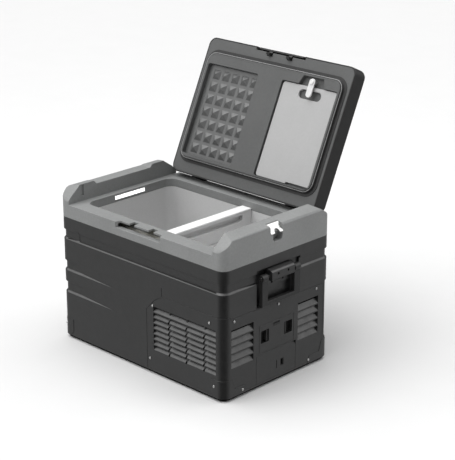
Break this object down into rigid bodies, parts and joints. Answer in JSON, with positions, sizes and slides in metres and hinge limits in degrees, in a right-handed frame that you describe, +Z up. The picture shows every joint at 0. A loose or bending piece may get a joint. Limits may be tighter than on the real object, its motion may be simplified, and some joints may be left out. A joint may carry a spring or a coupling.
{
  "type": "compressor cooler fridge",
  "caption": "Portable compressor cooler fridge: chest with a hinged insulated lid, deep and shallow compartments, drop handles, louvred machine bay and a pull-out battery.",
  "frame": {"origin": "centre of the chest's footprint, on the plane the rubber feet stand on", "axes": "+X to the right along the long front, +Y to the back where the lid is hinged, +Z up"},
  "size_m": [0.632, 0.565, 0.739],
  "materials": {
    "charcoal_shell": "matte",
    "guard_plastic": "satin",
    "frame_grey": "matte",
    "liner_grey": "satin",
    "white_trim": "satin",
    "light": "gloss",
    "black_plastic": "satin",
    "rubber": "matte",
    "foam": "matte",
    "steel": "satin",
    "compressor_paint": "gloss",
    "copper": "satin",
    "aluminium": "satin",
    "board_green": "satin",
    "lid_grey": "matte",
    "lid_shell": "matte",
    "cushion": "satin",
    "cutting_board": "satin",
    "clip_white": "satin",
    "display": "gloss"
  },
  "bodies": {
    "chest": {"handle_bracket_right": "charcoal_shell", "handle_bracket_left": "charcoal_shell", "outer_shell": "charcoal_shell", "vent_cover": "charcoal_shell", "port_panel": "charcoal_shell", "corner_guards": "guard_plastic", "top_frame": "frame_grey", "liner": "liner_grey", "divider_panel": "liner_grey", "divider_cap": "white_trim", "light_housing": "white_trim", "light_lens": "light", "base_pan": "black_plastic", "battery_bay": "black_plastic", "fan_housing": "black_plastic", "controller_tray": "black_plastic", "power_socket": "black_plastic", "hinge_lugs": "black_plastic", "rubber_feet": "rubber", "compressor_grommets": "rubber", "insulation_foam": "foam", "case_screws": "steel", "handle_pin_right": "steel", "handle_pin_left": "steel", "hinge_pins": "steel", "bottle_opener": "steel", "compressor_bracket": "steel", "compressor_shell": "compressor_paint", "condenser_tube": "copper", "socket_pins": "copper", "battery_contacts": "copper", "compressor_motor": "copper", "condenser_fins": "aluminium", "evaporator_plate": "aluminium", "controller_board": "board_green"},
    "lid": {"lid_outer": "lid_shell", "lid_inner": "lid_grey", "lid_foam": "foam", "lid_gasket": "rubber", "cushion_tray": "cushion", "cutting_board": "cutting_board", "clip_stud": "steel", "lid_hinge_cheeks": "black_plastic", "latch_pin": "steel", "latch_spring": "steel", "panel_frame": "black_plastic", "display_window": "display", "display_board": "board_green"},
    "latch": {"latch_lever": "black_plastic"},
    "board_clip": {"board_clip": "clip_white"},
    "power_button": {"power_button": "black_plastic"},
    "up_button": {"up_button": "black_plastic"},
    "down_button": {"down_button": "black_plastic"},
    "battery": {"battery_pack": "charcoal_shell", "battery_tab": "black_plastic"},
    "battery_latch_left": {"battery_latch_left": "black_plastic"},
    "battery_latch_right": {"battery_latch_right": "black_plastic"},
    "fan": {"fan_rotor": "black_plastic"},
    "handle_right": {"handle_bail_right": "black_plastic"},
    "handle_left": {"handle_bail_left": "black_plastic"}
  },
  "joints": [
    {"name": "lid_hinge", "type": "hinge", "parent": "chest", "child": "lid", "pos_m": [0, 0.186, 0.3944], "axis": [1, 0, 0], "range_deg": [0, 114.8]},
    {"name": "latch_hinge", "type": "hinge", "parent": "lid", "child": "latch", "pos_m": [0, 0.34823, 0.72262], "axis": [-1, 0, 0], "range_deg": [0, 35], "stiffness_Nm_per_rad": 0.15, "springref_deg": -22.92},
    {"name": "board_clip_turn", "type": "hinge", "parent": "lid", "child": "board_clip", "pos_m": [0.144, 0.28934, 0.68814], "axis": [0, 0.9078, -0.4195], "range_deg": [-90, 90]},
    {"name": "power_button_press", "type": "slide", "parent": "lid", "child": "power_button", "axis": [0, -0.9078, 0.4195], "range_m": [0, 0.0012], "stiffness_N_per_m": 300, "springref_m": -0.001},
    {"name": "up_button_press", "type": "slide", "parent": "lid", "child": "up_button", "axis": [0, -0.9078, 0.4195], "range_m": [0, 0.0012], "stiffness_N_per_m": 300, "springref_m": -0.001},
    {"name": "down_button_press", "type": "slide", "parent": "lid", "child": "down_button", "axis": [0, -0.9078, 0.4195], "range_m": [0, 0.0012], "stiffness_N_per_m": 300, "springref_m": -0.001},
    {"name": "battery_slide", "type": "slide", "parent": "chest", "child": "battery", "axis": [1, 0, 0], "range_m": [0, 0.11]},
    {"name": "battery_latch_left_squeeze", "type": "slide", "parent": "battery", "child": "battery_latch_left", "axis": [0, 1, 0], "range_m": [0, 0.003], "stiffness_N_per_m": 400, "springref_m": -0.002},
    {"name": "battery_latch_right_squeeze", "type": "slide", "parent": "battery", "child": "battery_latch_right", "axis": [0, -1, 0], "range_m": [0, 0.003], "stiffness_N_per_m": 400, "springref_m": -0.002},
    {"name": "fan_spin", "type": "hinge", "parent": "chest", "child": "fan", "pos_m": [0.15, -0.1285, 0.088], "axis": [0, 1, 0], "continuous": true},
    {"name": "handle_right_swing", "type": "hinge", "parent": "chest", "child": "handle_right", "pos_m": [0.3035, 0, 0.293], "axis": [0, -1, 0], "range_deg": [0, 95]},
    {"name": "handle_left_swing", "type": "hinge", "parent": "chest", "child": "handle_left", "pos_m": [-0.3035, 0, 0.293], "axis": [0, 1, 0], "range_deg": [0, 95]}
  ]
}
